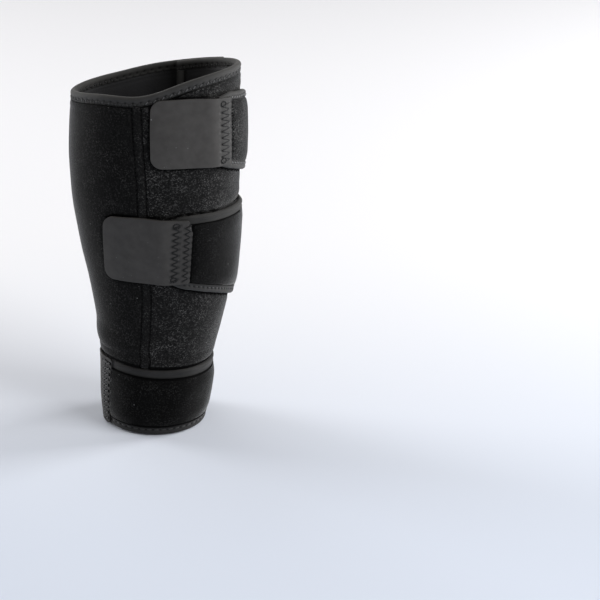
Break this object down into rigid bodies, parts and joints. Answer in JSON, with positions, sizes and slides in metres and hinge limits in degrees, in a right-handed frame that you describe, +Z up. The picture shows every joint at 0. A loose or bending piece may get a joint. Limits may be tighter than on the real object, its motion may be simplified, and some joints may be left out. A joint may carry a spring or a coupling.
{
  "type": "calf compression wrap",
  "caption": "Wrap-around calf support of loop-faced neoprene: a tapering tube that laps over itself, bound along its edges and closed by straps with hook tabs; worn on the lower leg.",
  "frame": {"origin": "centre of the bounding box at the lower rim, on the surface that the wrap stands on", "axes": "+Z up along the leg, -Y towards the side where the hook tabs show, +X to the right seen from there"},
  "size_m": [0.1294, 0.126, 0.2795],
  "materials": {
    "loop_pile": "black brushed loop pile on neoprene",
    "binding_tape": "dark grey ribbed edge binding",
    "hook_tape": "charcoal nylon back of hook tape"
  },
  "bodies": {
    "root": {"front_panel": "loop_pile", "calf_panel": "loop_pile", "seam_tape": "loop_pile", "top_binding": "binding_tape", "bottom_binding": "binding_tape", "inner_end_binding": "binding_tape", "outer_end_binding": "binding_tape", "upper_strap": "loop_pile", "upper_strap_top_binding": "binding_tape", "upper_strap_bottom_binding": "binding_tape", "upper_hook_tab": "hook_tape", "middle_strap": "loop_pile", "middle_strap_top_binding": "binding_tape", "middle_strap_bottom_binding": "binding_tape", "middle_hook_tab": "hook_tape", "lower_strap": "loop_pile", "lower_strap_top_binding": "binding_tape", "lower_strap_bottom_binding": "binding_tape", "lower_hook_tab": "hook_tape"}
  },
  "joints": []
}
